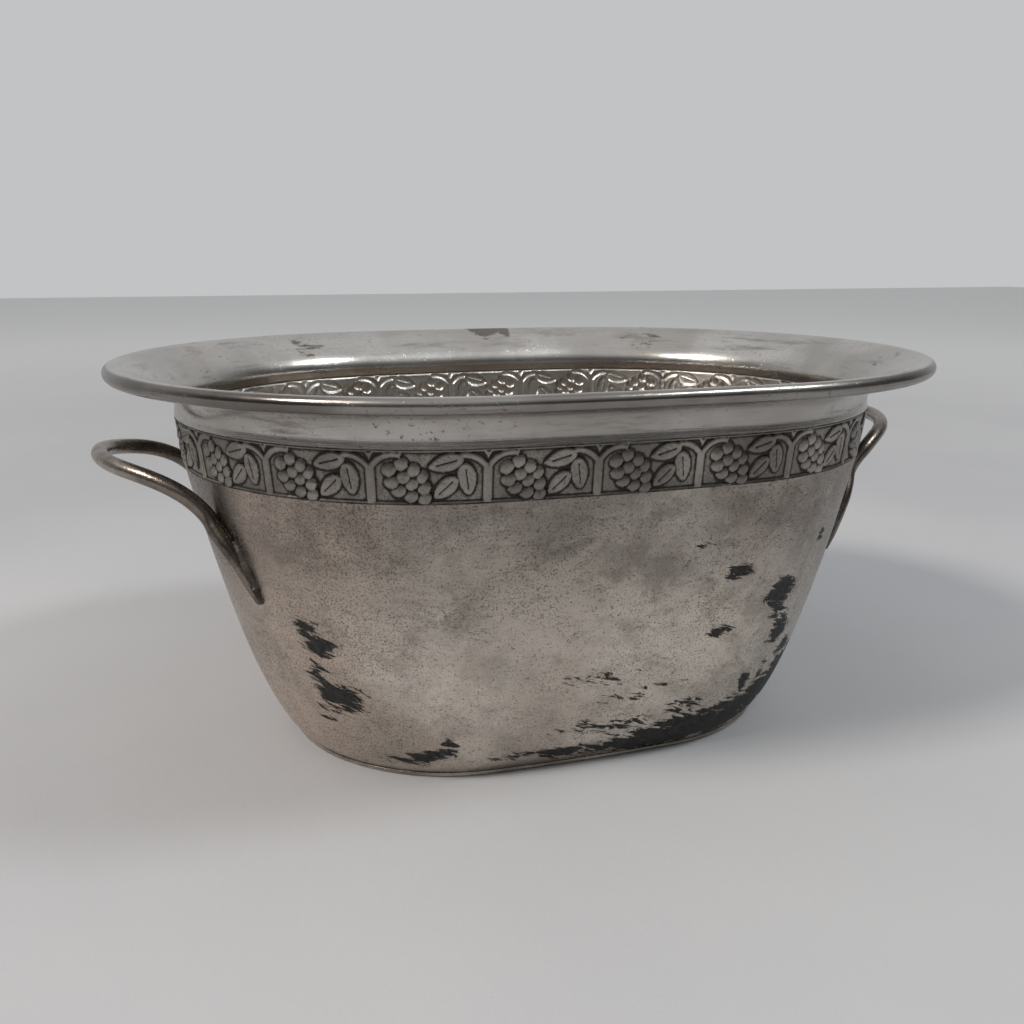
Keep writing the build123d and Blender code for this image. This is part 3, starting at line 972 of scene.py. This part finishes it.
def handle_silver():
    """Rods gone dark, rubbed light where hands hold the bend."""
    f = Finish("handle_silver")
    x = f.axes()[0]
    cloud = f.noise(38, 5, 0.65)
    fine = f.noise(420, 4, 0.7)
    f.colour = f.blend(f.step(cloud, 0.36, 0.64), (0.10, 0.084, 0.072), (0.24, 0.205, 0.175))
    rubbed = f.times(f.step(f.math("ABSOLUTE", x), 0.228, 0.252), f.step(cloud, 0.30, 0.55, 0.4, 1.0))
    f.tint(f.times(rubbed, 0.6), (0.50, 0.445, 0.39))
    f.tint(f.step(fine, 0.55, 0.72, 0.0, 0.55), (0.08, 0.068, 0.058))
    rough = f.plus(0.18, f.times(fine, 0.2))
    bump = f.plus(fine, f.times(f.noise(120, 4, 0.6), 1.2))
    return f.done(rough, 0.95, bump, 0.3, 0.0005)


def solder_grey(name, bright):
    """Soft solder, dull and dirty, with a few scraped bright specks. On the legs its dark colour is also
    painted shadow beside each leg.
    """
    f = Finish(name)
    cloud = f.noise(90, 5, 0.7)
    f.colour = f.blend(f.step(cloud, 0.36, 0.64), (0.045, 0.038, 0.033), (0.14, 0.122, 0.105))
    specks = f.step(f.noise(260, 3, 0.6, f.stretched(1, 1, 1, 7.0)), 0.60, 0.66)
    f.tint(f.times(specks, bright), (0.62, 0.59, 0.55))
    rough = f.minus(0.55, f.times(specks, 0.25))
    bump = f.plus(cloud, f.times(f.noise(500, 3, 0.6), 0.5))
    return f.done(rough, 0.75, bump, 0.6, 0.0008)


def plain_silver(name, dark, light, rough_at):
    """Dull plate on the parts that are out of sight or rubbed on the table."""
    f = Finish(name)
    cloud = f.noise(16, 6, 0.7)
    ring = f.noise(7, 3, 0.4, f.stretched(1, 1, 1, 3.0))
    fine = f.noise(330, 4, 0.7)
    marks = f.noise(1, 4, 0.6, f.stretched(700, 40, 400))
    f.colour = f.blend(f.step(cloud, 0.34, 0.66), dark, light)
    f.tint(f.times(f.step(f.math("ABSOLUTE", f.minus(ring, 0.5)), 0.02, 0.0), 0.5), dark)
    f.tint(f.step(fine, 0.56, 0.72, 0.0, 0.5), (0.10, 0.085, 0.07))
    f.tint(f.step(marks, 0.58, 0.74, 0.0, 0.3), (0.6, 0.56, 0.5))
    rough = f.plus(rough_at, f.times(f.minus(cloud, 0.5), 0.3))
    bump = f.plus(fine, f.times(marks, 0.6))
    return f.done(rough, 0.95, bump, 0.25, 0.0005)


def rim_iron():
    f = Finish("rim_iron")
    cloud = f.noise(200, 5, 0.7)
    f.colour = f.blend(f.step(cloud, 0.4, 0.65), (0.05, 0.045, 0.04), (0.13, 0.085, 0.055))
    return f.done(f.step(cloud, 0.3, 0.7, 0.5, 0.75), 0.7, cloud, 0.4, 0.0005)


def table_cloth():
    f = Finish("table_cloth")
    cloud = f.noise(2.2, 4, 0.5)
    weave = f.noise(900, 2, 0.5)
    f.colour = f.blend(f.step(cloud, 0.3, 0.7), (0.44, 0.44, 0.455), (0.48, 0.48, 0.49))
    f.tint(f.step(f.vector("LENGTH", f.spot), 0.7, 3.0), (0.80, 0.80, 0.80))
    bump = f.plus(f.times(f.noise(9, 3, 0.5), 1.2), f.times(weave, 0.1))
    return f.done(0.9, 0.0, bump, 0.35, 0.004)


# ---------------- wear, painted where it is

# middle of each worn patch on the wall in mm (x, y, height), its half width, half height and strength
WORN_PATCHES = [
    (-157, -96, 98, 7, 5, 1.1), (-152, -95, 87, 8, 6, 1.4), (-151, -92, 76, 5, 6, 0.6),
    (-153, -89, 67, 7, 4, 1.0), (-143, -93, 56, 11, 6, 1.5), (-137, -94, 48, 7, 4, 0.9),
    (-146, -84, 43, 8, 3, 0.7), (-150, -80, 37, 7, 3, 0.6), (-106, -101, 14, 12, 3, 1.0),
    (-94, -107, 18, 10, 4, 1.2), (-84, -112, 26, 4, 6, 0.9), (-40, -116, 13, 24, 3, 0.6),
    (-10, -114, 11, 24, 4, 0.9), (20, -114, 10, 26, 5, 1.2), (45, -115, 12, 26, 8, 1.4),
    (70, -114, 15, 24, 10, 1.5), (95, -108, 18, 18, 12, 1.5), (116, -100, 24, 14, 13, 1.5),
    (132, -90, 32, 12, 15, 1.4), (145, -78, 44, 9, 18, 1.3), (57, -120, 34, 10, 5, 0.8),
    (98, -114, 42, 4, 10, 1.1), (112, -108, 48, 4, 9, 0.9), (131, -100, 56, 8, 8, 1.0),
    (113, -126, 101, 9, 8, 1.3), (115, -123, 88, 6, 9, 0.9), (120, -115, 74, 8, 9, 1.2),
    (77, -140, 121, 6, 3.2, 1.4), (70, -133, 83, 6, 3.0, 1.3), (60, -139, 111, 7, 2, 0.8),
    (51, -146, 140, 5, 2, 0.7), (143, -118, 130, 5, 5, 0.8), (22, -130, 92, 18, 2, 0.5),
    (15, -128, 46, 16, 3, 0.5), (40, -127, 53, 14, 3, 0.5), (-63, -144, 133, 2.5, 2, 0.7),
    (0, -126, 62, 24, 7, 0.3), (10, -120, 28, 30, 6, 0.5), (120, 105, 40, 20, 10, 0.9),
    (60, 118, 24, 26, 7, 0.9), (-40, 120, 30, 18, 6, 0.7), (-120, 110, 60, 8, 14, 0.9),
    (-150, 85, 40, 9, 7, 0.8), (150, 60, 30, 8, 8, 0.8), (-158, 20, 40, 8, 9, 0.6),
    (20, 140, 110, 6, 4, 0.8),
]


def point_places(piece):
    coords = np.empty(len(piece.data.vertices) * 3)
    piece.data.vertices.foreach_get("co", coords)
    return coords.reshape(-1, 3)


def outward(piece, coords):
    """How far each point of a piece faces straight out of the bucket: 1 out, -1 in."""
    normals = np.empty(len(piece.data.vertices) * 3)
    piece.data.vertices.foreach_get("normal", normals)
    normals = normals.reshape(-1, 3)
    flat = coords[:, :2]
    return (flat * normals[:, :2]).sum(axis=1) / np.hypot(flat[:, 0], flat[:, 1])


SOUND = -0.9                    # kept as the wear of sound plate


def paint_worn(piece):
    """Marks how far the plate has gone at each point of the wall's outside."""
    coords = point_places(piece) / MM
    worn = np.full(len(coords), SOUND)
    for x, y, z, wide, tall, strength in WORN_PATCHES:
        spread = np.hypot(coords[:, 0] - x, coords[:, 1] - y) / (wide * 1.2)
        rise = (coords[:, 2] - z) / tall
        near = np.exp(-0.4 * (spread**2 + rise**2))
        worn = np.maximum(worn, (strength + 1.0) * near + SOUND)
    worn[outward(piece, coords) < 0] = SOUND
    mark_points(piece, "worn", worn)


# tarnish on the lip in mm: position, half width, strength
LIP_STAINS = [
    (22, 186, 14, 1.0), (38, 182, 10, 0.8), (-120, 160, 25, 0.5), (150, 150, 30, 0.5),
    (-200, 90, 20, 0.45), (225, -60, 25, 0.4), (60, -180, 30, 0.35), (-90, -182, 25, 0.3),
]


CLEAN = -0.4                    # kept as the stain of a clean lip
ROLL_LOW = 223.0                # the outer side of the rolled edge begins at this height, in mm


def paint_stains_and_shade(piece):
    """Marks where the lip has gone black, and the painted shade on its outer side."""
    coords = point_places(piece) / MM
    stain = np.full(len(coords), CLEAN)
    for x, y, wide, strength in LIP_STAINS:
        near = np.exp(-0.5 * ((coords[:, 0] - x) ** 2 + (coords[:, 1] - y) ** 2) / wide**2)
        stain = np.maximum(stain, near * (strength - CLEAN) + CLEAN)
    facing = outward(piece, coords)
    # painted shade on the outer side: light on the neck, heavy on the rolled edge
    outer = np.where(facing > 0.2, 0.42, 0.0)
    outer[(facing > 0.35) & (coords[:, 2] > ROLL_LOW)] = 0.9
    mark_points(piece, "outer", outer)
    mark_points(piece, "stain", stain)


# ---------------- the bucket

silver = aged_silver()
dark_silver = handle_silver()
band_silver = stamped_silver()
# leg solder: real solder, its dark colour also a painted shadow beside each leg
solder = solder_grey("leg_solder_and_painted_shadow", 0.4)
seam_solder = solder_grey("seam_solder", 0.15)

body = build_body()
paint_worn(body)
dress(body, silver, "silver_plate", "body_wall")

vine = vine_relief()
stretches = [(0, 5), (5, 10), (10, 15), (15, 21)]
for index, (first, last) in enumerate(stretches):
    run = build_band(vine, index, first, last)
    dress(run, band_silver, "frieze_silver", *(["frieze_band"] if index == 0 else []))

collar = build_collar()
paint_stains_and_shade(collar)
dress(collar, collar_silver(), "collar_silver", "collar")
foot = build_foot()
foot_silver = plain_silver("foot_silver", (0.26, 0.23, 0.20), (0.56, 0.51, 0.46), 0.25)
dress(foot, foot_silver, "foot_wire", "foot_ring")

dress(build_handle("right_handle", RIGHT_REACH, 1), dark_silver, "handle_silver", "handle_right")
dress(build_handle("left_handle", LEFT_REACH, -1), dark_silver, "handle_silver", "handle_left")
for end, x in (("right", 1), ("left", -1)):
    for side, y in (("front", -1), ("back", 1)):
        node = f"handle_{end}_solder_{side}"
        bank = build_solder(f"{end}_{side}_solder_bank", x, y, 3 + 2 * x + y)
        dress(bank, solder, "solder", node)

for node, material in (
    ("base_plate", plain_silver("base_sheet_silver", (0.22, 0.20, 0.18), (0.46, 0.43, 0.39), 0.4)),
    ("rim_wire", rim_iron()),
    ("base_seam", seam_solder),
    ("foot_seam", seam_solder),
    ("lower_band_solder", seam_solder),
    ("upper_band_solder", seam_solder),
):
    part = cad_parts[node]
    part.data.materials.clear()
    part.data.materials.append(material)

# ---------------- table and light

deselect()
bpy.ops.mesh.primitive_plane_add(size=12)
table = bpy.context.object
table.name = "table"
table.data.materials.append(table_cloth())


def soft_light(name, place, aim, wide, tall, power, colour):
    lamp = bpy.data.lights.new(name, "AREA")
    lamp.shape = "RECTANGLE"
    lamp.size, lamp.size_y = wide, tall
    lamp.energy = power
    lamp.color = colour
    light = bpy.data.objects.new(name, lamp)
    bpy.context.collection.objects.link(light)
    light.location = place
    light.rotation_euler = (Vector(aim) - Vector(place)).to_track_quat("-Z", "Y").to_euler()
    return light


soft_light("left_lamp", (-1.51, -0.62, 1.94), (0, 0, 0.1), 0.50, 0.42, 36, (1.0, 0.94, 0.87))
soft_light("right_lamp", (1.36, -0.76, 2.10), (0, 0, 0.1), 0.50, 0.44, 20, (0.94, 0.98, 1.0))
bpy.context.scene.view_settings.view_transform = "Standard"

world = bpy.data.worlds.new("studio")
bpy.context.scene.world = world
world.use_nodes = True
PLAIN_BACKGROUND = 0.55

# the metal sees a pale ceiling, a pale wall behind and a dim room in front; the view itself is plain
sky = Nodes(world.node_tree, "Generated")
_, backward, upward = sky.axes()
ceiling = sky.step(upward, 0.25, 0.85, 0.0, 0.62)
behind = sky.step(backward, 0.0, 0.7, 0.10, 0.50)
studio = sky.most(ceiling, behind)
seen = sky.tree.nodes.new("ShaderNodeLightPath").outputs["Is Camera Ray"]
shown = sky.plus(sky.times(seen, PLAIN_BACKGROUND), sky.times(studio, sky.minus(1.0, seen)))
background = sky.tree.nodes["Background"]
sky.put(background.inputs["Color"], (0.98, 0.99, 1.0))
sky.put(background.inputs["Strength"], shown)

# ---------------- camera

VIEW_TURN = math.radians(17.87)     # of the view away from straight along +Y
VIEW_DROP = math.radians(14.46)
VIEW_ROLL = math.radians(0.14)
VIEW_DISTANCE = 679.255 * MM
VIEW_SIDE = -11.295 * MM
VIEW_HEIGHT = 126.571 * MM

flat_run = math.cos(VIEW_DROP)
forward = Vector((math.sin(VIEW_TURN) * flat_run, math.cos(VIEW_TURN) * flat_run, -math.sin(VIEW_DROP)))
level = Vector((math.cos(VIEW_TURN), -math.sin(VIEW_TURN), 0))
above = level.cross(forward)
right = level * math.cos(VIEW_ROLL) + above * math.sin(VIEW_ROLL)
up = above * math.cos(VIEW_ROLL) - level * math.sin(VIEW_ROLL)
lens = bpy.data.cameras.new("camera")
lens.sensor_width = 36
lens.lens = 36.24
lens.clip_start = 0.01
camera = bpy.data.objects.new("camera", lens)
bpy.context.collection.objects.link(camera)
eye = level * VIEW_SIDE + Vector((0, 0, VIEW_HEIGHT)) - forward * VIEW_DISTANCE
turned = Matrix((right, up, -forward)).transposed().to_4x4()
camera.matrix_world = Matrix.Translation(eye) @ turned
bpy.context.scene.camera = camera
